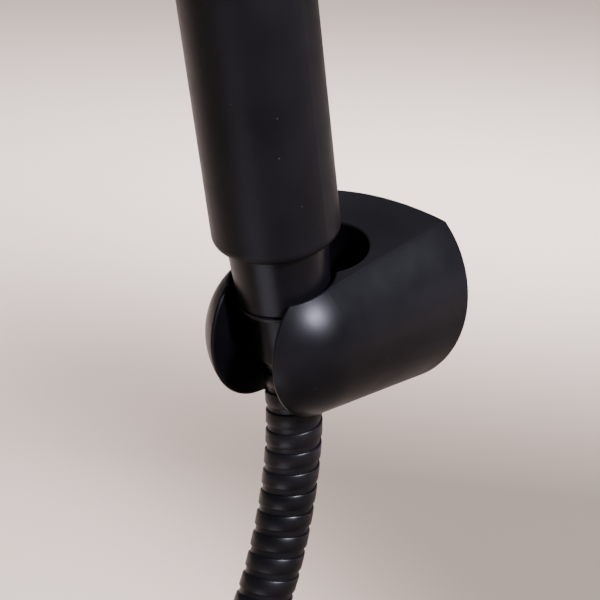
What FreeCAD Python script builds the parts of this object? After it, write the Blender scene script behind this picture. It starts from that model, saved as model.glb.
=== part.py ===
"""Stick hand shower resting in its wall bracket, with its metal hose put away in a coil below it.

Millimetres. The wall is the plane y = 0, the room is at y < 0 and +Z is up. The origin is the centre
of the bracket's round base on the wall. The handset, its cone nut and the bracket's seat share one
leaning axis; "bore frame" below means the frame whose z runs up that axis.
"""

import FreeCAD, Part
import math
import os

V = FreeCAD.Vector

# ---------------------------------------------------------------- driving dimensions
clearance = 0.3            # between pieces that move past each other
fit = 0.06                 # radial gap of a running or threaded fit
face_gap = 0.1             # between stacked flat faces

# wall bracket
lean = 13.5                # degrees that the handset leans out from the wall
bore_out = 39.15            # wall to the leaning axis, at the height of the base's centre
base_radius = 27.7
top_height = 22.7          # base's centre to the flat top, at the wall
crown_radius = 100.0       # the top is slightly crowned from side to side
nose_out = 36.9            # wall to the centre of the round nose
nose_drop = 4.3            # the nose's centre lies this much lower than the base's
nose_radius = 21.8
crease_round = 1.6         # edge between the top and the flanks
mouth_round = 0.6          # edges of the slot, the seat and the pocket
slot_width = 18.6          # the hose passes here, the swivel ring does not
pocket_radius = 12.8       # open pocket behind the seat
pocket_taper = 1.2
pocket_offset = 14.5       # seat axis to pocket axis
pocket_floor = -11.0       # bore frame height of the pocket's floor

# fixing to the wall
recess_radius = 18.4
recess_depth = 8.4
plate_thickness = 2.4
rim_wall = 2.5
rim_height = 7.6
screw_spacing = 20.0
screw_radius = 2.0
screw_head_radius = 4.0
screw_head_height = 2.6
screw_length = 30.0
screw_neck_radius = 2.2    # under the head, through the plate
grub_radius = 2.0
grub_length = 8.0
grub_out = 5.0             # wall to the grub screw's axis

# handset
handle_radius = 15.7
handle_wall = 1.8
handle_length = 192.0
handle_low = 23.0          # bore frame height of the handle's lower end
handle_floor = 2.5
low_round = 2.9
cap_height = 3.0
cap_round = 1.2
cap_plug = 6.5
window_width = 17.0
window_length = 66.0
window_margin = 14.0       # handle's top to the window
plate_face = 12.9          # handle's axis to the spray plate's front
plate_depth = 2.0
mat_thickness = 1.4
nozzle_radius = 1.15
nozzle_proud = 0.9
orifice_radius = 0.4
nozzle_pitch = 3.7
nozzle_row = 4.4
nozzle_rows = 12
chamber_back = 8.0
chamber_wall = 2.0
socket_depth = 8.0

# water way
thread_radius = 10.42      # G 1/2 male, over the thread
flange_height = 4.0
tube_radius = 7.0
tube_bore = 5.6
regulator_radius = 6.4
regulator_height = 4.1

# cone nut, swivel and hose
nut_top_radius = 12.5
nut_low_radius = 11.6
nut_height = 15.7
lip_height = 1.5
washer_radius = 9.3
washer_height = 2.0
washer_bore = 5.0
flange_thickness = 1.5
neck_radius = 6.3
neck_bore = 4.5
ring_radius = 12.0
ring_height = 1.2
ferrule_top_radius = 9.5
ferrule_low_radius = 9.1
ferrule_height = 14.7
ferrule_roof = 3.3
hose_radius = 7.35
outlet_ferrule_radius = 9.1
outlet_ferrule_length = 18.0
hex_across = 24.0
hex_height = 13.0

# hose as it is put away: a free run, a flat round coil and a tail with the outlet nut
coil_radius = 86.4
coil_pitch = 15.0          # sideways step of each turn, a little over the hose's diameter
coil_start = 135.0         # degrees round the coil where the free run joins it
coil_end = 900.0           # and where the tail leaves it, two turns and a bit later
coil_centre = V(11.7, 0, -227.5)
coil_front = -60.3         # y of the first turn
coil_slack = 0.3
tie_width = 12.0
tie_thickness = 1.4
free_run = [               # after the start, which lies on the leaning axis inside the ferrule
    V(0, -33.9, -21.9), V(0, -34.7, -49.8), V(0, -41.9, -76.3),
    V(-4.2, -51.6, -102.4), V(-14.6, -58.0, -126.8), V(-31.2, -60.3, -148.2),
]
tail_run = [V(-75.4, -27.8, -256.0), V(-76.0, -26.8, -284.0), V(-75.2, -26.0, -311.0)]

# ---------------------------------------------------------------- derived places
bore_frame = FreeCAD.Placement(V(0, -bore_out, 0), FreeCAD.Rotation(V(1, 0, 0), lean))
wall_frame = FreeCAD.Placement(V(0, 0, 0), FreeCAD.Rotation(V(1, 0, 0), 90))
lean_rad = math.radians(lean)
up_axis = V(0, -math.sin(lean_rad), math.cos(lean_rad))
out_axis = V(0, -math.cos(lean_rad), -math.sin(lean_rad))
top_plane = bore_out * -math.sin(lean_rad) + top_height * math.cos(lean_rad)
handle_top = handle_low + handle_length
shell_top = handle_top - cap_height
shell_bore = handle_radius - handle_wall
nut_top = handle_low - clearance
nut_low = nut_top - nut_height
seat_face = nut_low + lip_height + face_gap          # hose insert's flange rests here
washer_low = seat_face + flange_thickness + face_gap
thread_low = washer_low + washer_height + face_gap
ring_top = nut_low - face_gap
ring_low = ring_top - ring_height
ferrule_top = ring_low - face_gap
ferrule_low = ferrule_top - ferrule_height
hose_start = ferrule_top - ferrule_roof - ferrule_roof * 0.2
window_low = handle_top - window_margin - window_length
window_mid = window_low + window_length / 2
mat_front = plate_face - plate_depth
chamber_front = mat_front - mat_thickness
chamber_low = window_low - socket_depth
chamber_high = window_low + window_length + 2.5
spigot_top = handle_low + handle_floor + flange_height + 17.0
far = 400.0                # longer than any piece that is cut


# ---------------------------------------------------------------- helpers
def outline(corners):
    """Closed face in the XZ plane from (radius, height) corners, each with an optional rounding."""
    points = [V(c[0], 0, c[1]) for c in corners]
    rounds = [c[2] if len(c) > 2 else 0.0 for c in corners]
    edges, starts = [], []
    count = len(points)
    for i in range(count):
        here, before, after = points[i], points[i - 1], points[(i + 1) % count]
        if not rounds[i]:
            starts.append((here, here))
            continue
        back, ahead = (before - here).normalize(), (after - here).normalize()
        half = back.getAngle(ahead) / 2
        reach = rounds[i] / math.tan(half)
        centre = here + (back + ahead).normalize() * (rounds[i] / math.sin(half))
        first, last = here + back * reach, here + ahead * reach
        middle = centre + (here - centre).normalize() * rounds[i]
        edges.append((i, Part.Arc(first, middle, last).toShape()))
        starts.append((first, last))
    loop = []
    for i in range(count):
        loop += [edge for at, edge in edges if at == i]
        leave, arrive = starts[i][1], starts[(i + 1) % count][0]
        if leave.distanceToPoint(arrive) > 1e-6:
            loop.append(Part.LineSegment(leave, arrive).toShape())
    return Part.Face(Part.Wire(loop))


def turned(corners):
    """Solid of revolution about the Z axis."""
    return outline(corners).revolve(V(0, 0, 0), V(0, 0, 1), 360)


def placed(shape, frame):
    copy = shape.copy()
    copy.Placement = frame.multiply(copy.Placement)
    return copy


def cylinder(radius, low, high, x=0.0, y=0.0):
    return Part.makeCylinder(radius, high - low, V(x, y, low), V(0, 0, 1))


def ring(outer, inner, low, high):
    return cylinder(outer, low, high).cut(cylinder(inner, low - 1, high + 1))


def o_ring(middle_radius, section, height):
    return Part.makeTorus(middle_radius, section, V(0, 0, height), V(0, 0, 1))


def stadium(width, length, front, back, middle):
    """Upright slot shape in the handset's frame; its prism runs from y = -front to y = -back."""
    half, straight = width / 2, (length - width) / 2
    depth = front - back
    body = Part.makeBox(width, depth, 2 * straight, V(-half, -front, middle - straight))
    for side in (-1, 1):
        end = Part.makeCylinder(half, depth, V(0, -front, middle + side * straight), V(0, 1, 0))
        body = body.fuse(end)
    return body.removeSplitter()


def hexagon(across, height, low):
    radius = across / math.sqrt(3)
    corners = [V(radius * math.cos(math.radians(60 * i)), radius * math.sin(math.radians(60 * i)), low)
               for i in range(6)]
    return Part.Face(Part.makePolygon(corners + corners[:1])).extrude(V(0, 0, height))


def save(name, *shapes):
    solids = [solid for shape in shapes for solid in shape.Solids]
    for solid in solids:
        if not solid.isValid():
            raise ValueError("a solid of %s is not valid" % name)
    body = solids[0] if len(solids) == 1 else Part.makeCompound(solids)
    body.exportStep("parts/%s.step" % name)
    return body


# ---------------------------------------------------------------- wall bracket
def bracket_outside():
    """Round base drawn out to a ball nose, cut by the wall and by the crowned top."""
    axis = V(0, -nose_out, -nose_drop)
    reach = axis.Length
    base_to_nose = math.atan2(reach, base_radius)
    taper = math.acos(nose_radius / math.hypot(base_radius, reach)) - base_to_nose
    behind = 8.0
    start = V(-(base_radius + behind * math.tan(taper)), 0, -behind)
    touch = V(-nose_radius * math.cos(taper), 0, reach + nose_radius * math.sin(taper))
    turn = (math.pi / 2 + taper) / 2
    middle = V(-nose_radius * math.cos(turn), 0, reach + nose_radius * math.sin(turn))
    tip = V(0, 0, reach + nose_radius)
    foot = V(0, 0, -behind)
    loop = Part.Wire([
        Part.LineSegment(foot, start).toShape(),
        Part.LineSegment(start, touch).toShape(),
        Part.Arc(touch, middle, tip).toShape(),
        Part.LineSegment(tip, foot).toShape(),
    ])
    body = Part.Face(loop).revolve(V(0, 0, 0), V(0, 0, 1), 360)
    slope = math.degrees(math.atan2(nose_drop, nose_out))
    # local x is turned to point up, so the revolve's seam lies along the underside
    aim = FreeCAD.Rotation(V(1, 0, 0), 90 + slope).multiply(FreeCAD.Rotation(V(0, 0, 1), 90))
    body = placed(body, FreeCAD.Placement(V(0, 0, 0), aim))
    body = body.cut(Part.makeBox(2 * far, far, 2 * far, V(-far, 0, -far)))
    crown_foot = V(0, 0, top_height) - up_axis * crown_radius - out_axis * far
    crown = Part.makeCylinder(crown_radius, 2 * far, crown_foot, out_axis)
    body = body.common(crown)
    crease = []
    for face in body.Faces:
        surface = face.Surface
        if isinstance(surface, Part.Cylinder) and abs(surface.Radius - crown_radius) < 0.01:
            crease = [e for e in face.Edges if max(abs(v.Point.y) for v in e.Vertexes) > 0.01]
    return body.makeFillet(crease_round, crease)


def seat_void():
    """The cone's seat: a mouth, a ledge under the swivel ring and a bore down to the hose."""
    ledge = ring_low - face_gap
    foot = ring_radius + clearance
    nut_taper = (nut_top_radius - nut_low_radius) / nut_height
    mouth = foot + nut_taper * (top_plane - ledge) + mouth_round
    low = slot_width / 2
    corners = [
        (0, -far / 4), (low, -far / 4), (low, ferrule_low),
        (ferrule_top_radius + clearance, ledge), (foot, ledge),
        (mouth, top_plane), (mouth, far / 4), (0, far / 4),
    ]
    return turned(corners)


def lies_on(point, shape):
    return Part.Vertex(point).distToShape(shape)[0] < 1e-4


def round_mouth(body, outside, void):
    """Rounds the edges where the void comes out through the bracket's outside."""
    skin = Part.makeCompound(outside.Faces)
    wall = Part.makeCompound(void.Faces)
    edges = []
    for edge in body.Edges:
        first, last = edge.ParameterRange
        points = [edge.valueAt(first + share * (last - first)) for share in (0.2, 0.5, 0.8)]
        if max(p.y for p in points) < -1.0 and all(lies_on(p, skin) and lies_on(p, wall) for p in points):
            edges.append(edge)
    print("mouth edges", len(edges))
    return body.makeFillet(mouth_round, edges)


def bracket_body():
    body = bracket_outside()
    slot = Part.makeBox(slot_width, far / 4, far / 2, V(-slot_width / 2, -far / 4, -far / 4))
    pocket = Part.makeCone(pocket_radius - pocket_taper, pocket_radius, top_plane - pocket_floor,
                           V(0, pocket_offset, pocket_floor), V(0, 0, 1))
    pocket = pocket.fuse(cylinder(pocket_radius, top_plane, far / 8, 0, pocket_offset))
    void = placed(seat_void().fuse(slot).fuse(pocket), bore_frame)
    body = round_mouth(body.cut(void), body, void)
    body = body.cut(placed(cylinder(recess_radius, -1, recess_depth), wall_frame))
    grub_hole = Part.makeCylinder(grub_radius + fit, base_radius, V(0, -grub_out, -base_radius - 2), V(0, 0, 1))
    return body.cut(grub_hole)


def mounting_plate():
    rim_radius = recess_radius - clearance
    plate = turned([(0, 0), (rim_radius, 0), (rim_radius, rim_height, 0.4),
                    (rim_radius - rim_wall, rim_height, 0.4),
                    (rim_radius - rim_wall, plate_thickness), (0, plate_thickness)])
    for side in (-1, 1):
        plate = plate.cut(cylinder(screw_neck_radius + clearance, -1, far / 8, 0, side * screw_spacing / 2))
    return placed(plate, wall_frame)


def mounting_screws():
    tip = plate_thickness - screw_length
    head_top = plate_thickness + screw_head_height
    screws = []
    for side in (-1, 1):
        screw = turned([(0, tip), (screw_radius, tip + 3.0), (screw_radius, 0),
                        (screw_neck_radius, 0), (screw_neck_radius, plate_thickness),
                        (screw_head_radius, plate_thickness), (screw_head_radius, head_top, 1.2), (0, head_top)])
        for turn in (0, 90):
            slot = Part.makeBox(4.6, 0.9, 1.4, V(-2.3, -0.45, head_top - 1.3))
            slot.rotate(V(0, 0, 0), V(0, 0, 1), turn)
            screw = screw.cut(slot)
        screw.translate(V(0, side * screw_spacing / 2, 0))
        screws.append(placed(screw, wall_frame))
    return screws


def grub_screw():
    tip = -(recess_radius - clearance + face_gap)
    body = Part.makeCylinder(grub_radius, grub_length, V(0, -grub_out, tip - grub_length), V(0, 0, 1))
    key = hexagon(2.0, 2.5, tip - grub_length - 0.5)
    key.translate(V(0, -grub_out, 0))
    return body.cut(key)


# ---------------------------------------------------------------- handset
def window_prism(width, length, front, back):
    return stadium(width, length, front, back, window_mid)


def handle_shell():
    hole = thread_radius + fit
    shell = turned([(hole, handle_low), (handle_radius, handle_low, low_round), (handle_radius, shell_top, 0.2),
                    (shell_bore, shell_top), (shell_bore, handle_low + handle_floor), (hole, handle_low + handle_floor)])
    opening = window_prism(window_width, window_length, handle_radius + 4, handle_radius / 2)
    return placed(shell.cut(opening), bore_frame)


def top_cap():
    plug_radius_here = shell_bore - face_gap
    low = shell_top - cap_plug
    middle = shell_top - cap_plug / 2
    groove = 0.9
    cap = turned([
        (0, handle_top), (handle_radius, handle_top, cap_round), (handle_radius, shell_top + 0.05, 0.2),
        (plug_radius_here, shell_top + 0.05), (plug_radius_here, middle + groove),
        (plug_radius_here - 1.1, middle + groove), (plug_radius_here - 1.1, middle - groove),
        (plug_radius_here, middle - groove), (plug_radius_here, low, 0.3), (plug_radius_here - 2.5, low),
        (plug_radius_here - 2.5, shell_top - 1.0), (0, shell_top - 1.0),
    ])
    return placed(cap, bore_frame)


def cap_seal():
    section = 0.57
    return placed(o_ring(shell_bore - section - 0.03, section, shell_top - cap_plug / 2), bore_frame)


def nozzle_places():
    """Staggered rows of four and three over the spray plate."""
    places = []
    for row in range(nozzle_rows):
        height = window_mid + (row - (nozzle_rows - 1) / 2) * nozzle_row
        columns = 4 if row % 2 == 0 else 3
        for column in range(columns):
            places.append(((column - (columns - 1) / 2) * nozzle_pitch, height))
    return places


def plate_screw_heights():
    inset = 4.6
    return (window_low + inset, window_low + window_length - inset)


def along_front(radius, front, back, x, height):
    """Cylinder through the spray face, from y = -front to y = -back."""
    return Part.makeCylinder(radius, front - back, V(x, -front, height), V(0, 1, 0))


def spray_plate():
    plate = window_prism(window_width - 2 * face_gap, window_length - 2 * face_gap, plate_face, mat_front)
    front_edges = [e for e in plate.Edges if all(abs(v.Point.y + plate_face) < 1e-6 for v in e.Vertexes)]
    plate = plate.makeFillet(0.35, front_edges)
    holes = [along_front(nozzle_radius + 0.12, plate_face + 1, mat_front - 1, x, z) for x, z in nozzle_places()]
    for height in plate_screw_heights():
        holes.append(along_front(1.1, plate_face + 1, mat_front - 1, 0, height))
        sink = Part.makeCone(2.2, 1.1, 1.1, V(0, -plate_face, height), V(0, 1, 0))
        holes.append(sink)
    return placed(plate.cut(Part.makeCompound(holes)), bore_frame)


def nozzle_mat():
    inset = 1.2
    mat = window_prism(window_width - 2 * inset, window_length - 2 * inset, mat_front - 0.02, chamber_front + 0.02)
    tips = []
    for x, z in nozzle_places():
        root = mat_front - mat_thickness / 2
        tip = Part.makeCone(nozzle_radius, nozzle_radius * 0.72, plate_face + nozzle_proud - root,
                            V(x, -root, z), V(0, -1, 0))
        tips.append(tip)
    mat = mat.fuse(tips)
    bores = [along_front(orifice_radius, plate_face + nozzle_proud + 1, chamber_front - 1, x, z)
             for x, z in nozzle_places()]
    for height in plate_screw_heights():
        bores.append(along_front(1.3, mat_front + 1, chamber_front - 1, 0, height))
    return placed(mat.cut(Part.makeCompound(bores)), bore_frame)


def spray_chamber():
    outer = cylinder(shell_bore - clearance, chamber_low, chamber_high)
    block = Part.makeBox(4 * handle_radius, chamber_front + chamber_back, far,
                         V(-2 * handle_radius, -chamber_front, 0))
    block = outer.common(block)
    inset = 2.2
    cavity = window_prism(window_width - 2 * inset, window_length - 6 * inset, chamber_front + 1,
                          chamber_wall - chamber_back)
    socket = cylinder(tube_radius + 0.05, chamber_low - 1, chamber_low + socket_depth)
    passage = cylinder(tube_bore, chamber_low, window_low + window_width)
    block = block.cut(cavity).cut(socket).cut(passage)
    for height in plate_screw_heights():
        block = block.cut(along_front(0.9, chamber_front + 1, chamber_front - 6.0, 0, height))
    return placed(block, bore_frame)


def plate_screws():
    screws = []
    for height in plate_screw_heights():
        screw = turned([(0, 0), (2.1, 0), (0.85, 1.1), (0.85, 8.0), (0, 8.6)])
        screw = screw.cut(hexagon(1.5, 0.8, -0.1))
        turn = FreeCAD.Placement(V(0, -plate_face + 0.05, height), FreeCAD.Rotation(V(1, 0, 0), -90))
        screws.append(placed(placed(screw, turn), bore_frame))
    return screws


def inlet_connector():
    floor = handle_low + handle_floor
    flange_top = floor + flange_height
    flange_radius = shell_bore - clearance
    step = thread_low + regulator_height + 1.3
    groove_in, groove_out, groove_deep = 11.4, 13.2, 1.0
    connector = turned([
        (regulator_radius + fit, thread_low), (thread_radius, thread_low, 0.8), (thread_radius, floor),
        (groove_in, floor), (groove_in, floor + groove_deep), (groove_out, floor + groove_deep),
        (groove_out, floor), (flange_radius, floor), (flange_radius, flange_top, 0.5),
        (tube_radius + 2.5, flange_top), (tube_radius + 2.5, spigot_top, 0.5), (tube_radius + 0.05, spigot_top),
        (tube_radius + 0.05, spigot_top - 10.0), (tube_bore, spigot_top - 10.0), (tube_bore, step),
        (regulator_radius + fit, step),
    ])
    return placed(connector, bore_frame)


def connector_seal():
    floor = handle_low + handle_floor
    return placed(ring(13.1, 11.5, floor + 0.01, floor + 0.98), bore_frame)


def inlet_screen():
    disc = cylinder(regulator_radius, thread_low + 0.15, thread_low + 0.65)
    holes = []
    for step in range(-3, 4):
        for across in range(-3, 4):
            x, y = 1.6 * step, 1.6 * across
            if math.hypot(x, y) < regulator_radius - 1.4:
                holes.append(cylinder(0.5, thread_low - 1, thread_low + 2, x, y))
    return placed(disc.cut(Part.makeCompound(holes)), bore_frame)


def flow_regulator():
    low = thread_low + 0.75
    body = cylinder(regulator_radius, low, low + regulator_height)
    holes = [cylinder(0.9, low - 1, low + far / 40, 3.9 * math.cos(math.radians(60 * i)),
                      3.9 * math.sin(math.radians(60 * i))) for i in range(6)]
    groove = ring(regulator_radius + 1, regulator_radius - 1.0, low + 1.2, low + 2.8)
    return placed(body.cut(Part.makeCompound(holes)).cut(groove), bore_frame)


def regulator_seal():
    return placed(o_ring(regulator_radius - 0.49, 0.5, thread_low + 0.75 + 2.0), bore_frame)


def water_tube():
    low, high = spigot_top - 9.7, chamber_low + socket_depth - clearance
    tube = ring(tube_radius, tube_bore, low, high)
    for height in tube_seal_heights():
        tube = tube.cut(ring(tube_radius + 1, tube_radius - 0.96, height - 0.8, height + 0.8))
    return placed(tube, bore_frame)


def tube_seal_heights():
    return (spigot_top - 5.0, chamber_low + socket_depth / 2)


def tube_seals():
    return [placed(o_ring(tube_radius - 0.46, 0.48, height), bore_frame) for height in tube_seal_heights()]


def inlet_washer():
    low = washer_low
    washer = ring(washer_radius, washer_bore, low, low + washer_height)
    return placed(washer, bore_frame)


def cone_nut():
    hole = neck_radius + fit
    pocket = washer_radius + clearance
    shelf = washer_low + washer_height
    nut = turned([
        (hole, nut_low), (nut_low_radius, nut_low, 0.4), (nut_top_radius, nut_top, 0.4),
        (thread_radius + fit, nut_top), (thread_radius + fit, shelf), (pocket, shelf),
        (pocket, nut_low + lip_height), (hole, nut_low + lip_height),
    ])
    return placed(nut, bore_frame)


# ---------------------------------------------------------------- hose and its ends
def hose_insert():
    insert = turned([
        (neck_bore, hose_start + face_gap), (neck_radius, hose_start + face_gap), (neck_radius, seat_face),
        (washer_radius, seat_face), (washer_radius, seat_face + flange_thickness, 0.3),
        (neck_bore, seat_face + flange_thickness),
    ])
    return placed(insert, bore_frame)


def swivel_ring():
    collar = turned([(neck_radius + fit, ring_low), (ring_radius, ring_low, 0.4), (ring_radius, ring_top, 0.4),
                     (neck_radius + fit, ring_top)])
    return placed(collar, bore_frame)


def hose_ferrule():
    hole = hose_radius + face_gap
    roof = ferrule_top - ferrule_roof
    shoulder = 0.5
    sleeve = turned([
        (neck_radius + fit, ferrule_top), (ferrule_top_radius - 0.9, ferrule_top),
        (ferrule_top_radius - 0.9, ferrule_top - shoulder), (ferrule_top_radius, ferrule_top - shoulder, 0.25),
        (ferrule_low_radius, ferrule_low, 0.6), (hole, ferrule_low), (hole, roof), (neck_radius + fit, roof),
    ])
    return placed(sleeve, bore_frame)


def rounded_route(points):
    """Straight runs joined by tangent arcs, each arc as large as its two runs allow."""
    edges, at, radii = [], points[0], []
    for before, corner, after in zip(points, points[1:], points[2:]):
        back, ahead = (before - corner), (after - corner)
        reach = 0.45 * min(back.Length, ahead.Length)
        half_turn = (math.pi - back.getAngle(ahead)) / 2
        back.normalize()
        ahead.normalize()
        radius = reach / math.tan(half_turn)
        first, last = corner + back * reach, corner + ahead * reach
        inward = (back + ahead).normalize()
        middle = corner + inward * (radius / math.cos(half_turn) - radius)
        edges.append(Part.LineSegment(at, first).toShape())
        edges.append(Part.Arc(first, middle, last).toShape())
        at = last
        radii.append(radius)
    edges.append(Part.LineSegment(at, points[-1]).toShape())
    return Part.Wire(edges), radii


def hose_along(points, name):
    route, radii = rounded_route(points)
    direction = (points[1] - points[0]).normalize()
    section = Part.Wire(Part.makeCircle(hose_radius, points[0], direction))
    tube = route.makePipeShell([section], True, True)
    expected = math.pi * hose_radius ** 2 * route.Length
    print(name, "radii", [round(r) for r in radii], "length", round(route.Length, 1),
          "volume share", round(tube.Volume / expected, 4))
    return tube


def coil_point(angle):
    turn = math.radians(angle)
    depth = coil_front + coil_pitch * (angle - coil_start) / 360
    return V(coil_centre.x + coil_radius * math.cos(turn), depth, coil_centre.z + coil_radius * math.sin(turn))


def hose_tube():
    start = bore_frame.multVec(V(0, 0, hose_start))
    return hose_along([start] + free_run + [coil_point(coil_start)], "hose_tube")


def hose_tail():
    return hose_along([coil_point(coil_end)] + tail_run, "hose_tail")


def coil_band(grow):
    """Ring that holds every turn, with its section grown all round."""
    radial = hose_radius + coil_slack + grow
    front = coil_front - hose_radius - coil_slack - grow
    back = coil_point(coil_end).y + hose_radius + coil_slack + grow
    band = turned([(coil_radius - radial, -back, 4.0), (coil_radius + radial, -back, 4.0),
                   (coil_radius + radial, -front, 4.0), (coil_radius - radial, -front, 4.0)])
    band = placed(band, wall_frame)
    band.translate(coil_centre)
    return band


def hose_tie():
    """Strap round the turns at the top of the coil."""
    strap = coil_band(tie_thickness + face_gap).cut(coil_band(face_gap))
    block = Part.makeBox(tie_width, far, far, V(coil_centre.x - tie_width / 2, -far / 2, coil_centre.z))
    return strap.common(block)


def outlet_frame():
    """Frame at the hose's far end, with z running out of it."""
    direction = (tail_run[-1] - tail_run[-2]).normalize()
    return FreeCAD.Placement(tail_run[-1], FreeCAD.Rotation(V(0, 0, 1), direction))


outlet_roof = 3.0
outlet_nut_low = 4.2
outlet_lip = 1.6


def outlet_ferrule():
    sleeve = turned([
        (neck_radius + fit, outlet_roof), (outlet_ferrule_radius, outlet_roof, 0.6),
        (outlet_ferrule_radius, -outlet_ferrule_length, 0.8), (hose_radius + face_gap, -outlet_ferrule_length),
        (hose_radius + face_gap, face_gap), (neck_radius + fit, face_gap),
    ])
    return placed(sleeve, outlet_frame())


def outlet_insert():
    seat = outlet_nut_low + outlet_lip + face_gap
    insert = turned([
        (neck_bore, face_gap / 2), (neck_radius, face_gap / 2), (neck_radius, seat), (washer_radius, seat),
        (washer_radius, seat + flange_thickness, 0.3), (neck_bore, seat + flange_thickness),
    ])
    return placed(insert, outlet_frame())


def outlet_washer():
    low = outlet_nut_low + outlet_lip + flange_thickness + 2 * face_gap
    return placed(ring(washer_radius, washer_bore, low, low + washer_height), outlet_frame())


def outlet_nut():
    low, high = outlet_nut_low, outlet_nut_low + hex_height
    blank = hexagon(hex_across, hex_height, low)
    chamfer = turned([(0, low), (hex_across / 2, low), (hex_across, low + hex_across / 3.4),
                      (hex_across, high - hex_across / 3.4), (hex_across / 2, high), (0, high)])
    shelf = low + outlet_lip + flange_thickness + 2 * face_gap + washer_height + 0.2
    bore = turned([
        (0, low - 1), (neck_radius + fit, low - 1), (neck_radius + fit, low + outlet_lip),
        (thread_radius + 0.5, low + outlet_lip), (thread_radius + 0.5, shelf),
        (thread_radius + fit, shelf), (thread_radius + fit, high + 1), (0, high + 1),
    ])
    return placed(blank.common(chamfer).cut(bore), outlet_frame())


os.makedirs("parts", exist_ok=True)
save("bracket_body", bracket_body())
save("mounting_plate", mounting_plate())
save("mounting_screws", *mounting_screws())
save("grub_screw", grub_screw())
save("handle_shell", handle_shell())
save("top_cap", top_cap())
save("cap_seal", cap_seal())
save("spray_plate", spray_plate())
save("nozzle_mat", nozzle_mat())
save("spray_chamber", spray_chamber())
save("plate_screws", *plate_screws())
save("inlet_connector", inlet_connector())
save("connector_seal", connector_seal())
save("inlet_screen", inlet_screen())
save("flow_regulator", flow_regulator())
save("regulator_seal", regulator_seal())
save("water_tube", water_tube())
save("tube_seals", *tube_seals())
save("inlet_washer", inlet_washer())
save("cone_nut", cone_nut())
save("hose_insert", hose_insert())
save("swivel_ring", swivel_ring())
save("hose_ferrule", hose_ferrule())
save("hose_tube", hose_tube())
save("hose_coil", coil_band(0))
save("hose_tie", hose_tie())
save("hose_tail", hose_tail())
save("outlet_ferrule", outlet_ferrule())
save("outlet_insert", outlet_insert())
save("outlet_washer", outlet_washer())
save("outlet_nut", outlet_nut())
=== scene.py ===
import math

import bpy
import numpy as np
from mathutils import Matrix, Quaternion, Vector


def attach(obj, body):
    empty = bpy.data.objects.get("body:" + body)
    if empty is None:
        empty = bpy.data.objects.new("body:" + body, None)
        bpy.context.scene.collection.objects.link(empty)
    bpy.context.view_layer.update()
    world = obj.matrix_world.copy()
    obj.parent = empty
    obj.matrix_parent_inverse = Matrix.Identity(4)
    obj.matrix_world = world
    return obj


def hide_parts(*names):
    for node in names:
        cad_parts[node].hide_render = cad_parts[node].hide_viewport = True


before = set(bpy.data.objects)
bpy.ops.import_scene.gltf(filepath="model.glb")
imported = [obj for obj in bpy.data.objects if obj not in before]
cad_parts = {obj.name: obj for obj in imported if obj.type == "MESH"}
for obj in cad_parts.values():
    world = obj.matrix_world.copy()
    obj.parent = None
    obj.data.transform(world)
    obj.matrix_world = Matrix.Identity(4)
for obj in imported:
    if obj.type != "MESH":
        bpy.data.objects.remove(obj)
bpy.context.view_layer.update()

# Stick hand shower in its wall bracket. Metres, the frame of the CAD: the wall is y = 0,
# the room is at -Y, +Z is up, and the origin is the centre of the bracket's round base.

camera = {
    "place": (0.2304, -0.3293, 0.1431),
    "target": (-0.0152, -0.0149, -0.0059),
    "lens": 96.0,             # mm
    "sensor": 36.0,           # mm
    "roll": 2.72,             # degrees
    "near": 0.02,
    "far": 30.0,
}


def makeCamera(spec):
    data = bpy.data.cameras.new("camera")
    data.lens = spec["lens"]
    data.sensor_width = spec["sensor"]
    data.clip_start = spec["near"]
    data.clip_end = spec["far"]
    cam = bpy.data.objects.new("camera", data)
    bpy.context.scene.collection.objects.link(cam)
    look = Vector(spec["target"]) - Vector(spec["place"])
    turn = look.to_track_quat("-Z", "Y") @ Quaternion((0, 0, 1), math.radians(spec["roll"]))
    cam.location = spec["place"]
    cam.rotation_mode = "QUATERNION"
    cam.rotation_quaternion = turn
    bpy.context.scene.camera = cam


makeCamera(camera)
print("camera made")


# A mesh object from whole arrays of points, quads and triangles. The uv array has one pair for each
# point, and edges that bend by more than sharpAngle degrees stay crisp.
def makeMesh(name, points, quads, triangles=None, smooth=True, sharpAngle=None, uv=None):
    faces = [tuple(q) for q in quads.tolist()]
    if triangles is not None:
        faces += [tuple(t) for t in triangles.tolist()]
    mesh = bpy.data.meshes.new(name)
    mesh.from_pydata(points.tolist(), [], faces)
    mesh.polygons.foreach_set("use_smooth", np.full(len(faces), smooth))
    if uv is not None:
        corners = np.empty(len(mesh.loops), dtype=np.int32)
        mesh.loops.foreach_get("vertex_index", corners)
        layer = mesh.uv_layers.new(name="UVMap")
        layer.data.foreach_set("uv", uv[corners].ravel())
    mesh.update()
    if sharpAngle is not None:
        mesh.set_sharp_from_angle(angle=math.radians(sharpAngle))
    thing = bpy.data.objects.new(name, mesh)
    bpy.context.scene.collection.objects.link(thing)
    return thing


def unit(vectors):
    return vectors / np.linalg.norm(vectors, axis=-1, keepdims=True)


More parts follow.
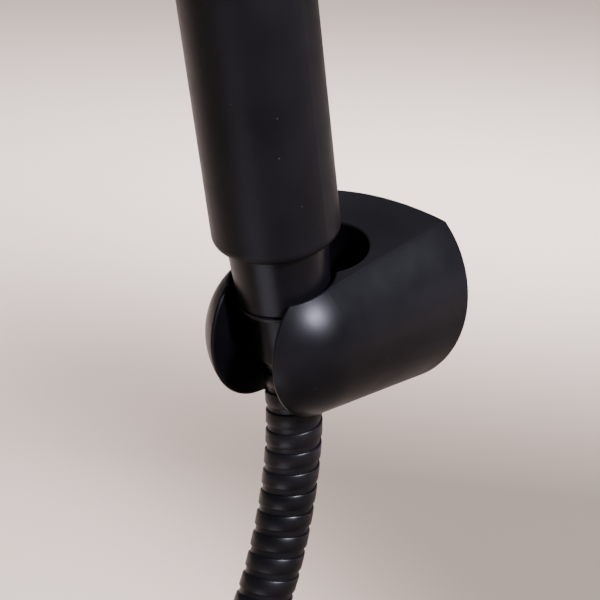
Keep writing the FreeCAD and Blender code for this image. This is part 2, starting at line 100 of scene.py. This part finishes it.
# The hose is one metal strip wound into interlocked bands over a rubber tube.
hose = {
    "diameter": 0.0147,
    "length": 1.5,
    "strip": 0.0060,          # each band along the hose
    "leaves": (0.0, -0.03703, -0.00885),         # foot of the ferrule
    "start": (0.0, -0.03953, 0.00159),           # inside the ferrule
    "freeRun": [
        (0.0, -0.0339, -0.0219), (0.0, -0.0347, -0.0498), (0.0, -0.0419, -0.0763),
        (-0.0042, -0.0516, -0.1024), (-0.0146, -0.0580, -0.1268), (-0.0312, -0.0603, -0.1482),
    ],
    "coilRadius": 0.0864,
    "coilPitch": 0.0150,      # sideways step of each turn
    "coilStart": 135.0,       # degrees round the coil
    "coilEnd": 900.0,
    "coilCentre": (0.0117, -0.2275),
    "coilFront": -0.0603,
    "pointsPerTurn": 16,
    "tailRun": [(-0.0754, -0.0278, -0.2560), (-0.0760, -0.0268, -0.2840),
                (-0.0752, -0.0260, -0.3110)],
    "lineDetail": 14,         # points of the smooth line between two control points
    "around": 38,             # mesh columns round the hose
    "firstTip": 0.6,          # middle of the end cap, in bands past the line's start
    "lastTip": 0.2,           # the same at the far end, past the last band
    "crisp": 38,              # degrees
    # over one band, (share of the band, depth under the crown as a share of the strip):
    # a crisp upper edge, a flat crown, a tucked lower edge and a groove with the next strip's lip
    "band": [(0.0, 0.085), (0.015, 0.030), (0.060, 0.0), (0.38, 0.0), (0.66, 0.002),
             (0.695, 0.022), (0.71, 0.085), (0.86, 0.085), (0.975, 0.088)],
}


# Turns of the coil: a circle in X and Z that steps along Y, with its control radius swelled
# by 1 / cos(half a step) so that the smooth line through them keeps the coil's radius.
def coilPoints(spec):
    steps = round((spec["coilEnd"] - spec["coilStart"]) / 360 * spec["pointsPerTurn"])
    angle = np.radians(np.linspace(spec["coilStart"], spec["coilEnd"], steps + 1))
    swell = spec["coilRadius"] / math.cos(math.pi / spec["pointsPerTurn"])
    depth = spec["coilFront"] + spec["coilPitch"] * (angle - angle[0]) / math.tau
    across = spec["coilCentre"][0] + swell * np.cos(angle)
    height = spec["coilCentre"][1] + swell * np.sin(angle)
    return np.stack([across, depth, height], axis=1).tolist()


# Points along the NURBS line of order 3 that the control points pull.
def smoothLine(points, detail):
    data = bpy.data.curves.new("hoseLine", "CURVE")
    data.dimensions = "3D"
    data.resolution_u = detail
    spline = data.splines.new("NURBS")
    spline.points.add(len(points) - 1)
    spline.points.foreach_set("co", np.c_[np.array(points), np.ones(len(points))].ravel())
    spline.order_u = 3
    spline.use_endpoint_u = True
    thing = bpy.data.objects.new("hoseLine", data)
    bpy.context.scene.collection.objects.link(thing)
    mesh = bpy.data.meshes.new_from_object(thing)
    line = np.empty(len(mesh.vertices) * 3)
    mesh.vertices.foreach_get("co", line)
    bpy.data.objects.remove(thing)
    bpy.data.curves.remove(data)
    bpy.data.meshes.remove(mesh)
    return line.reshape(-1, 3)


# Places and two cross axes at the given distances along a line. One cross axis leans as little
# from Y as the direction allows, and the other completes the frame.
def walk(line, distances):
    steps = np.linalg.norm(np.diff(line, axis=0), axis=1)
    along = np.concatenate([[0.0], np.cumsum(steps)])
    slopes = np.gradient(line, along, axis=0)
    place = np.stack([np.interp(distances, along, line[:, k]) for k in range(3)], axis=-1)
    ahead = unit(np.stack([np.interp(distances, along, slopes[:, k]) for k in range(3)], axis=-1))
    side = unit(np.array([0.0, 1.0, 0.0]) - ahead * ahead[..., 1:2])
    return place, side, np.cross(ahead, side)


# Every vertex lies (row's share + column / around) bands along the line, so that each row climbs
# one band per turn and the strip is a true helix. The radius is half the diameter less the depth
# of the band's outline at that row. A fan from a middle point closes each end.
def makeHose(spec, line):
    radius, strip, columns = spec["diameter"] / 2, spec["strip"], spec["around"]
    share, under = np.array(spec["band"]).T
    perBand = len(share)
    total = np.linalg.norm(np.diff(line, axis=0), axis=1).sum()
    bands = int(total / strip) - 1
    rows = bands * perBand
    bandsAlong = (np.arange(bands)[:, None] + share[None, :]).ravel()
    turn = np.arange(columns) / columns
    distance = (bandsAlong[:, None] + turn[None, :]) * strip
    place, side, cross = walk(line, distance)
    angle = (math.tau * turn)[None, :, None]
    out = np.cos(angle) * side + np.sin(angle) * cross       # a right-handed helix
    reach = radius - np.tile(under, bands)[:, None, None] * strip
    points = (place + out * reach).reshape(-1, 3)
    row, column = np.meshgrid(np.arange(rows - 1), np.arange(columns), indexing="ij")
    nextColumn = (column + 1) % columns
    shift = np.where(column == columns - 1, perBand, 0)      # the seam joins a row to the next band
    keep = row + shift + 1 < rows
    corners = [row * columns + column, (row + shift) * columns + nextColumn,
               (row + 1 + shift) * columns + nextColumn, (row + 1) * columns + column]
    quads = np.stack(corners, axis=-1)[keep]
    lowLoop = np.concatenate([np.arange(columns), np.arange(perBand, 0, -1) * columns])
    highLoop = np.concatenate([(rows - 1) * columns + np.arange(columns),
                               (rows - 1 - np.arange(1, perBand + 1)) * columns + columns - 1])
    tips = walk(line, np.array([strip * spec["firstTip"], strip * (bands + spec["lastTip"])]))[0]
    lowTip = np.full(len(lowLoop), len(points))
    highTip = np.full(len(highLoop), len(points) + 1)
    lowFan = np.stack([np.roll(lowLoop, -1), lowLoop, lowTip], axis=1)
    highFan = np.stack([highLoop, np.roll(highLoop, -1), highTip], axis=1)
    across = np.broadcast_to(turn[None, :] * math.tau * radius, distance.shape)
    uv = np.concatenate([np.stack([across, distance], axis=-1).reshape(-1, 2), np.zeros((2, 2))])
    return makeMesh("shower_hose", np.concatenate([points, tips]), quads,
                    np.concatenate([lowFan, highFan]), sharpAngle=spec["crisp"], uv=uv)


hosePoints = [hose["start"]] + hose["freeRun"] + coilPoints(hose) + hose["tailRun"]
hoseLine = smoothLine(hosePoints, hose["lineDetail"])
showerHose = makeHose(hose, hoseLine)
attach(showerHose, "hose")
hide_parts("hose_tube", "hose_coil", "hose_tail")
print("hose made,", len(showerHose.data.polygons), "faces")


# Hook-and-loop strap that holds the turns together at the top of the coil.
strap = {
    "width": 0.012,
    "thickness": 0.0012,
    "gap": 0.0003,            # to the hose, and between the two layers
    "overlap": 0.022,
    "turnsHeld": (450, 810),  # degrees along the coil where two turns pass its top
    "riseBefore": 0.006,      # the rise over the strap's own start begins this far before it
    "riseLength": 0.005,
    "edgeRound": 0.0004,
    "cornerSteps": 4,
    "steps": 132,
    "crisp": 50,              # degrees
}


# The line runs round two turns of the hose as a stadium: two half circles about the turns' centres,
# joined by straight runs, one gap and half a thickness off the hose. It goes one lap and the
# overlap, and rises by a thickness and a gap just before it meets its own start. A rounded
# rectangle is carried along the line, and a flat fan closes each end.
def makeStrap(spec, coil):
    centres = [coil["coilFront"] + coil["coilPitch"] * (at - coil["coilStart"]) / 360
               for at in spec["turnsHeld"]]
    height = coil["coilCentre"][1] + coil["coilRadius"]
    run = centres[1] - centres[0]
    inner = coil["diameter"] / 2 + spec["gap"] + spec["thickness"] / 2
    arc = math.pi * inner
    lap = 2 * run + 2 * arc
    distance = np.linspace(0.0, lap + spec["overlap"], spec["steps"])
    around = (distance + run / 2) % lap
    rise = np.clip((distance - (lap - spec["riseBefore"])) / spec["riseLength"], 0.0, 1.0)
    offset = (spec["thickness"] + spec["gap"]) * rise * rise * (3 - 2 * rise)
    stretches = [around < run, around < run + arc, around < 2 * run + arc]
    angle = math.pi / 2 - np.select(
        stretches,
        [0 * around, (around - run) / inner, np.full(len(around), math.pi)],
        math.pi + (around - 2 * run - arc) / inner)
    middle = np.select(
        stretches,
        [centres[0] + around, np.full(len(around), centres[1]), centres[1] - (around - run - arc)],
        centres[0])
    reach = inner + offset
    line = np.stack([middle + reach * np.cos(angle), height + reach * np.sin(angle)], axis=1)
    outward = np.stack([np.cos(angle), np.sin(angle)], axis=1)
    corner = np.radians(np.linspace(0, 90, spec["cornerSteps"]))
    half = np.array([spec["width"], spec["thickness"]]) / 2 - spec["edgeRound"]
    quarter = np.stack([np.cos(corner), np.sin(corner)], axis=1) * spec["edgeRound"] + half
    flipped = quarter[::-1]
    section = np.concatenate([quarter, flipped * (-1, 1), quarter * (-1, -1), flipped * (1, -1)])
    count = len(section)
    points = np.empty((len(distance), count, 3))
    points[:, :, 0] = coil["coilCentre"][0] + section[None, :, 0]
    points[:, :, 1:] = line[:, None, :] + outward[:, None, :] * section[None, :, 1, None]
    row, column = np.meshgrid(np.arange(len(distance) - 1), np.arange(count), indexing="ij")
    following = (column + 1) % count
    corners = [row * count + column, (row + 1) * count + column,
               (row + 1) * count + following, row * count + following]
    quads = np.stack(corners, axis=-1).reshape(-1, 4)
    last = (len(distance) - 1) * count
    fan = np.arange(1, count - 1)
    lowEnd = np.stack([np.zeros(count - 2, int), fan, fan + 1], axis=1)
    highEnd = np.stack([np.full(count - 2, last), last + fan + 1, last + fan], axis=1)
    uv = np.stack(np.broadcast_arrays(section[None, :, 0], distance[:, None]), axis=-1)
    return makeMesh("coil_strap", points.reshape(-1, 3), quads, np.concatenate([lowEnd, highEnd]),
                    sharpAngle=spec["crisp"], uv=uv.reshape(-1, 2))


coilStrap = makeStrap(strap, hose)
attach(coilStrap, "hose")
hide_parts("hose_tie")
print("strap made,", len(coilStrap.data.polygons), "faces")


# An sRGB hex colour as linear red, green, blue and alpha.
def linear(hexColour):
    part = np.array([int(hexColour[i:i + 2], 16) for i in (1, 3, 5)]) / 255
    out = np.where(part <= 0.04045, part / 12.92, ((part + 0.055) / 1.055) ** 2.4)
    return (*out.tolist(), 1.0)


# Adds one node, sets its properties and sockets, and links outputs of other nodes into it.
def addNode(tree, kind, settings=None, inputs=None, links=None):
    node = tree.nodes.new(kind)
    for name, value in (settings or {}).items():
        setattr(node, name, value)
    for name, value in (inputs or {}).items():
        node.inputs[name].default_value = value
    for name, output in (links or {}).items():
        tree.links.new(output, node.inputs[name])
    return node


def startMaterial(name):
    material = bpy.data.materials.new(name)
    material.use_nodes = True
    tree = material.node_tree
    tree.nodes.clear()
    shader = addNode(tree, "ShaderNodeBsdfPrincipled")
    addNode(tree, "ShaderNodeOutputMaterial", links={"Surface": shader.outputs["BSDF"]})
    place = addNode(tree, "ShaderNodeTexCoord")
    return material, tree, shader, place


# With these settings a mix node takes its colours at inputs 6 and 7 and gives one at output 2.
colourMix = {"data_type": "RGBA", "blend_type": "MIX"}

# Matt black coat over metal: a fine orange peel breaks the highlight into a soft glow, handling
# leaves it a little smoother in places, and a few specks of lime dust sit on it. "Size" is the
# real size of a pattern in metres here and below.
coatBase = {
    "dark": "#020203",
    "light": "#070608",
    "cloudSize": 0.025,
    "handsSize": 0.012,
    "handsSwing": 0.05,       # of the roughness, to each side
    "dustColour": "#6f6a66",
    "dustSpacing": 0.006,
    "dustReach": 0.035,       # share of that spacing
    "peelStrength": 0.35,
}
coats = {
    "bracketCoat": {"name": "powderCoatedZinc", "rough": 0.39, "peelSize": 0.0007,
                    "lift": 0.00002, "dust": 0.3, "ior": 1.2},
    "handleCoat": {"name": "powderCoatedBrassTube", "rough": 0.46, "peelSize": 0.0007,
                   "lift": 0.00002, "dust": 0.3, "ior": 1.18},
    "nutCoat": {"name": "paintedBrassNut", "rough": 0.33, "peelSize": 0.0006,
                "lift": 0.000015, "dust": 0.25, "ior": 1.2},
    "hoseCoat": {"name": "lacqueredSteelStrip", "rough": 0.38, "peelSize": 0.0005,
                 "lift": 0.000015, "dust": 0.2, "ior": 1.22},
}


def makeCoat(spec):
    material, tree, shader, place = startMaterial(spec["name"])
    here = place.outputs["Object"]
    cloud = addNode(tree, "ShaderNodeTexNoise", inputs={"Scale": 1 / spec["cloudSize"], "Detail": 2.0},
                    links={"Vector": here})
    blend = addNode(tree, "ShaderNodeMapRange", inputs={"From Min": 0.35, "From Max": 0.65},
                    links={"Value": cloud.outputs["Fac"]})
    tone = addNode(tree, "ShaderNodeMix", colourMix,
                   {6: linear(spec["dark"]), 7: linear(spec["light"])},
                   {"Factor": blend.outputs["Result"]})
    speck = addNode(tree, "ShaderNodeTexVoronoi", {"feature": "F1"},
                    {"Scale": 1 / spec["dustSpacing"]}, {"Vector": here})
    dots = addNode(tree, "ShaderNodeMapRange",
                   inputs={"From Min": 0.0, "From Max": spec["dustReach"],
                           "To Min": spec["dust"], "To Max": 0.0},
                   links={"Value": speck.outputs["Distance"]})
    dusty = addNode(tree, "ShaderNodeMix", colourMix, {7: linear(spec["dustColour"])},
                    {"Factor": dots.outputs["Result"], 6: tone.outputs[2]})
    tree.links.new(dusty.outputs[2], shader.inputs["Base Color"])
    hands = addNode(tree, "ShaderNodeTexNoise", inputs={"Scale": 1 / spec["handsSize"], "Detail": 4.0},
                    links={"Vector": here})
    rough = addNode(tree, "ShaderNodeMapRange",
                    inputs={"From Min": 0.3, "From Max": 0.7,
                            "To Min": spec["rough"] - spec["handsSwing"],
                            "To Max": spec["rough"] + spec["handsSwing"]},
                    links={"Value": hands.outputs["Fac"]})
    tree.links.new(rough.outputs["Result"], shader.inputs["Roughness"])
    peel = addNode(tree, "ShaderNodeTexNoise",
                   inputs={"Scale": 1 / spec["peelSize"], "Detail": 2.0, "Roughness": 0.6},
                   links={"Vector": here})
    bump = addNode(tree, "ShaderNodeBump",
                   inputs={"Strength": spec["peelStrength"], "Distance": spec["lift"]},
                   links={"Height": peel.outputs["Fac"]})
    tree.links.new(bump.outputs["Normal"], shader.inputs["Normal"])
    shader.inputs["IOR"].default_value = spec["ior"]
    return material


# Injection moulded: an even tone, with a faint spark-eroded grain that softens the light.
mouldingBase = {
    "shade": 0.82,            # the darker tone, as a share of the colour
    "flowSize": 0.01,
    "patchSize": 0.004,
    "smoother": 0.05,         # how far the roughness swings down and up
    "rougher": 0.06,
    "grainStrength": 0.3,
    "grainLift": 0.00004,
}
mouldings = {
    "sprayPlate": {"name": "mouldedAbs", "colour": "#121214", "rough": 0.45, "grainSize": 0.0004},
    "silicone": {"name": "mouldedSilicone", "colour": "#3f4043", "rough": 0.62, "grainSize": 0.0003},
    "acetal": {"name": "mouldedAcetal", "colour": "#e4e2dc", "rough": 0.4, "grainSize": 0.0004},
    "rubber": {"name": "mouldedEpdm", "colour": "#161616", "rough": 0.7, "grainSize": 0.0003},
}


def makeMoulding(spec):
    material, tree, shader, place = startMaterial(spec["name"])
    here = place.outputs["Object"]
    base = linear(spec["colour"])
    shade = (*(part * spec["shade"] for part in base[:3]), 1.0)
    flow = addNode(tree, "ShaderNodeTexNoise", inputs={"Scale": 1 / spec["flowSize"], "Detail": 2.0},
                   links={"Vector": here})
    blend = addNode(tree, "ShaderNodeMapRange", inputs={"From Min": 0.3, "From Max": 0.7},
                    links={"Value": flow.outputs["Fac"]})
    tone = addNode(tree, "ShaderNodeMix", colourMix, {6: shade, 7: base},
                   {"Factor": blend.outputs["Result"]})
    tree.links.new(tone.outputs[2], shader.inputs["Base Color"])
    patch = addNode(tree, "ShaderNodeTexNoise", inputs={"Scale": 1 / spec["patchSize"], "Detail": 3.0},
                    links={"Vector": here})
    rough = addNode(tree, "ShaderNodeMapRange",
                    inputs={"From Min": 0.3, "From Max": 0.7,
                            "To Min": spec["rough"] - spec["smoother"],
                            "To Max": spec["rough"] + spec["rougher"]},
                    links={"Value": patch.outputs["Fac"]})
    tree.links.new(rough.outputs["Result"], shader.inputs["Roughness"])
    grain = addNode(tree, "ShaderNodeTexNoise", inputs={"Scale": 1 / spec["grainSize"], "Detail": 2.0},
                    links={"Vector": here})
    bump = addNode(tree, "ShaderNodeBump",
                   inputs={"Strength": spec["grainStrength"], "Distance": spec["grainLift"]},
                   links={"Height": grain.outputs["Fac"]})
    tree.links.new(bump.outputs["Normal"], shader.inputs["Normal"])
    return material


# Lathe-turned, cast or rolled metal: fine tool lines pull the highlight into bands.
metalBase = {
    "shade": 0.8,             # the darker tone, as a share of the colour
    "stainSize": 0.006,
    "patchSize": 0.003,
    "smoother": 0.06,         # how far the roughness swings down and up
    "rougher": 0.08,
    "lineWander": 0.6,
    "lineStrength": 0.25,
    "lineLift": 0.00003,
}
metals = {
    "brass": {"name": "turnedBrass", "colour": "#c9a45a", "rough": 0.28, "toolPitch": 0.00025},
    "zinc": {"name": "castZincPlate", "colour": "#a9a8a4", "rough": 0.42, "toolPitch": 0.0004},
    "steel": {"name": "stainlessScrew", "colour": "#b9b8b5", "rough": 0.25, "toolPitch": 0.00025},
}


# A wave node's sine runs through 20 radians in each metre, times its scale, and repeats after
# 2 pi radians: so the scale is 2 pi / 20 / pitch.
def waveScale(pitch):
    return math.tau / 20 / pitch


def makeMetal(spec):
    material, tree, shader, place = startMaterial(spec["name"])
    here = place.outputs["Object"]
    base = linear(spec["colour"])
    shade = (*(part * spec["shade"] for part in base[:3]), 1.0)
    stain = addNode(tree, "ShaderNodeTexNoise", inputs={"Scale": 1 / spec["stainSize"], "Detail": 3.0},
                    links={"Vector": here})
    blend = addNode(tree, "ShaderNodeMapRange", inputs={"From Min": 0.3, "From Max": 0.7},
                    links={"Value": stain.outputs["Fac"]})
    tone = addNode(tree, "ShaderNodeMix", colourMix, {6: shade, 7: base},
                   {"Factor": blend.outputs["Result"]})
    tree.links.new(tone.outputs[2], shader.inputs["Base Color"])
    shader.inputs["Metallic"].default_value = 1.0
    patch = addNode(tree, "ShaderNodeTexNoise", inputs={"Scale": 1 / spec["patchSize"], "Detail": 3.0},
                    links={"Vector": here})
    rough = addNode(tree, "ShaderNodeMapRange",
                    inputs={"From Min": 0.3, "From Max": 0.7,
                            "To Min": spec["rough"] - spec["smoother"],
                            "To Max": spec["rough"] + spec["rougher"]},
                    links={"Value": patch.outputs["Fac"]})
    tree.links.new(rough.outputs["Result"], shader.inputs["Roughness"])
    lines = addNode(tree, "ShaderNodeTexWave", {"wave_type": "BANDS", "bands_direction": "Z"},
                    {"Scale": waveScale(spec["toolPitch"]), "Distortion": spec["lineWander"]},
                    {"Vector": here})
    bump = addNode(tree, "ShaderNodeBump",
                   inputs={"Strength": spec["lineStrength"], "Distance": spec["lineLift"]},
                   links={"Height": lines.outputs["Fac"]})
    tree.links.new(bump.outputs["Normal"], shader.inputs["Normal"])
    return material


# Woven nylon with a looped face: ribs and yarns cross on the strap, in a matt black that hardly shines.
webbing = {
    "name": "wovenNylonStrap",
    "dark": "#09090a",
    "light": "#151416",
    "rough": 0.85,
    "ribPitch": 0.0009,       # a little coarser than the real 0.6 mm so that it shows
    "wander": 0.8,
    "wanderScale": 2.0,
    "strength": 0.6,
    "lift": 0.0002,
}


def makeWebbing(spec):
    material, tree, shader, place = startMaterial(spec["name"])
    waves = {"Scale": waveScale(spec["ribPitch"]), "Distortion": spec["wander"],
             "Detail Scale": spec["wanderScale"]}
    ribs = addNode(tree, "ShaderNodeTexWave", {"wave_type": "BANDS", "bands_direction": "Y"},
                   waves, {"Vector": place.outputs["UV"]})
    yarns = addNode(tree, "ShaderNodeTexWave", {"wave_type": "BANDS", "bands_direction": "X"},
                    waves, {"Vector": place.outputs["UV"]})
    weave = addNode(tree, "ShaderNodeMath", {"operation": "MULTIPLY"},
                    links={0: ribs.outputs["Fac"], 1: yarns.outputs["Fac"]})
    tone = addNode(tree, "ShaderNodeMix", colourMix,
                   {6: linear(spec["dark"]), 7: linear(spec["light"])},
                   {"Factor": weave.outputs["Value"]})
    tree.links.new(tone.outputs[2], shader.inputs["Base Color"])
    bump = addNode(tree, "ShaderNodeBump", inputs={"Strength": spec["strength"], "Distance": spec["lift"]},
                   links={"Height": weave.outputs["Value"]})
    tree.links.new(bump.outputs["Normal"], shader.inputs["Normal"])
    shader.inputs["Roughness"].default_value = spec["rough"]
    return material


finishes = {key: makeCoat({**coatBase, **spec}) for key, spec in coats.items()}
finishes.update({key: makeMoulding({**mouldingBase, **spec}) for key, spec in mouldings.items()})
finishes.update({key: makeMetal({**metalBase, **spec}) for key, spec in metals.items()})
finishes["webbing"] = makeWebbing(webbing)

finishPieces = {
    "bracketCoat": ["bracket_body"],
    "handleCoat": ["handle_shell", "top_cap"],
    "nutCoat": ["cone_nut", "swivel_ring", "hose_ferrule", "outlet_ferrule", "outlet_nut"],
    "sprayPlate": ["spray_plate"],
    "silicone": ["nozzle_mat"],
    "acetal": ["spray_chamber", "water_tube", "inlet_screen", "flow_regulator"],
    "rubber": ["cap_seal", "connector_seal", "regulator_seal", "tube_seals", "inlet_washer",
               "outlet_washer", "hose_tie"],
    "brass": ["inlet_connector", "hose_insert", "outlet_insert"],
    "zinc": ["mounting_plate"],
    "steel": ["mounting_screws", "grub_screw", "plate_screws"],
}


def coat(thing, finish):
    thing.data.materials.clear()
    thing.data.materials.append(finishes[finish])


for finishName, nodeNames in finishPieces.items():
    for nodeName in nodeNames:
        coat(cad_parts[nodeName], finishName)
coat(showerHose, "hoseCoat")
coat(coilStrap, "webbing")
print("materials made,", len(finishes))


# Plain pale floor and soft studio light.
studio = {
    "floorHeight": -0.42,
    "floorSize": 60.0,
    "floorColour": "#eed6c0",
    "floorRough": 0.9,
    "worldColour": "#e4e4ea",
    "worldStrength": 0.48,
    "washLamps": 6,           # in a ring, turned outwards to light the floor and not the object
    "washRadius": 1.3,
    "washHeight": 0.45,
    "washSize": 0.8,
    "washPower": 42.0,
    "lampColour": "#ececff",
    "spotBlend": 0.7,
}

lamps = [
    {"name": "top", "place": (0.0, 0.2, 2.4), "target": (0.0, 0.2, 0), "size": 2.0, "power": 32.0},
    {"name": "key", "place": (1.00, -0.30, 0.80), "target": (0, -0.04, -0.03), "size": 0.17,
     "power": 430.0, "cone": 26.0},      # degrees, too narrow to light much of the floor
    {"name": "bounce", "place": (0.02, -0.40, -0.37), "target": (0, -0.04, 0), "size": 0.30,
     "power": 1.5},
    {"name": "side", "place": (0.85, 0.72, 0.03), "target": (0, -0.03, 0), "size": 0.30,
     "power": 1.3},
]
for turn in np.linspace(0, math.tau, studio["washLamps"], endpoint=False).tolist():
    away = Vector((math.cos(turn), math.sin(turn), 0)) * studio["washRadius"]
    lamps.append({"name": "wash", "place": (away.x, away.y, studio["washHeight"]),
                  "target": (away.x * 2, away.y * 2, studio["floorHeight"]),
                  "size": studio["washSize"], "power": studio["washPower"]})


def makeFloor(spec):
    half, low = spec["floorSize"] / 2, spec["floorHeight"]
    points = np.array([(-half, -half, low), (half, -half, low), (half, half, low), (-half, half, low)])
    floor = makeMesh("floor", points, np.array([[0, 1, 2, 3]]), smooth=False)
    material, _, shader, _ = startMaterial("paleFloor")
    shader.inputs["Base Color"].default_value = linear(spec["floorColour"])
    shader.inputs["Roughness"].default_value = spec["floorRough"]
    floor.data.materials.append(material)


def makeWorld(spec):
    world = bpy.data.worlds.new("studio")
    world.use_nodes = True
    bpy.context.scene.world = world
    background = world.node_tree.nodes["Background"]
    background.inputs["Color"].default_value = linear(spec["worldColour"])
    background.inputs["Strength"].default_value = spec["worldStrength"]


def makeLamp(spec):
    if "cone" in spec:
        data = bpy.data.lights.new(spec["name"], "SPOT")
        data.spot_size = math.radians(spec["cone"])
        data.spot_blend = studio["spotBlend"]
        data.shadow_soft_size = spec["size"] / 2
    else:
        data = bpy.data.lights.new(spec["name"], "AREA")
        data.shape = "DISK"
        data.size = spec["size"]
    data.energy = spec["power"]
    data.color = linear(studio["lampColour"])[:3]
    lamp = bpy.data.objects.new(spec["name"], data)
    lamp.visible_camera = False
    bpy.context.scene.collection.objects.link(lamp)
    lamp.location = spec["place"]
    aim = Vector(spec["target"]) - Vector(spec["place"])
    lamp.rotation_euler = aim.to_track_quat("-Z", "Y").to_euler()


makeFloor(studio)
makeWorld(studio)
for lamp in lamps:
    makeLamp(lamp)
print("studio made")
